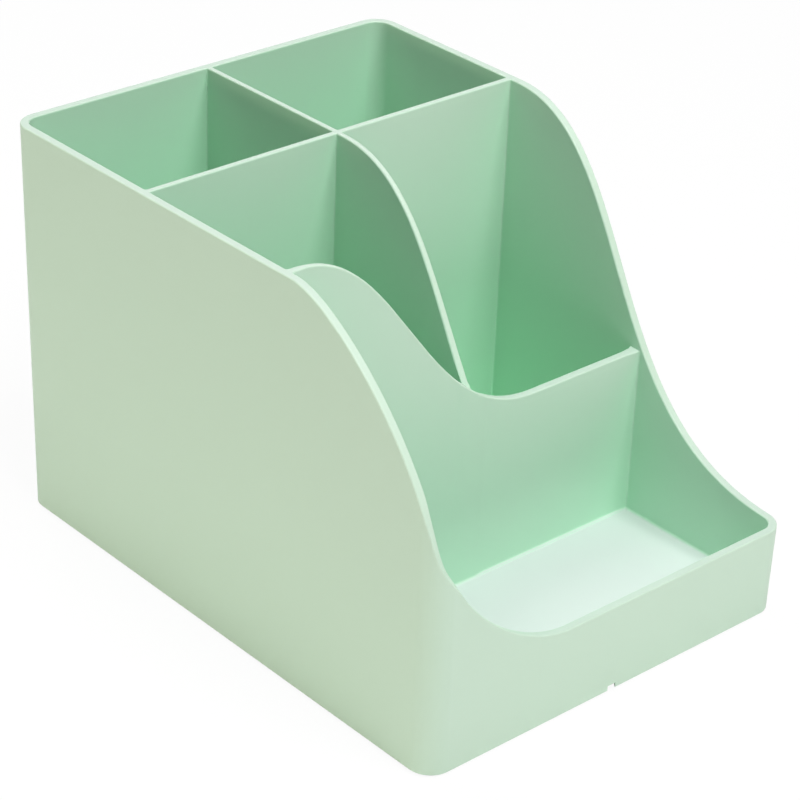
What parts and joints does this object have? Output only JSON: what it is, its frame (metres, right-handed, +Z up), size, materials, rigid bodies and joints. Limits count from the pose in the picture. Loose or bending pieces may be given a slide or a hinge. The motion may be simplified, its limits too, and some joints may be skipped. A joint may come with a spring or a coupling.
{
  "type": "pen holder",
  "caption": "Desk pen holder with stepped open compartments behind a low front tray, flowing S-shaped rims, moulded in one piece, on non-slip pads.",
  "frame": {"origin": "middle of the outline's rectangle, on the plane that the pads stand on", "axes": "+Z up, +X to the right seen from the front, +Y from the low tray at the front to the high rear wall"},
  "size_m": [0.1222, 0.163, 0.1104],
  "materials": {
    "moulded_plastic": "fine matt mint green moulded plastic",
    "pad_rubber": "soft matt grey elastomer"
  },
  "bodies": {
    "root": {"organizer_body": "moulded_plastic", "non_slip_pad_front_left": "pad_rubber", "non_slip_pad_front_right": "pad_rubber", "non_slip_pad_rear_left": "pad_rubber", "non_slip_pad_rear_right": "pad_rubber"}
  },
  "joints": []
}
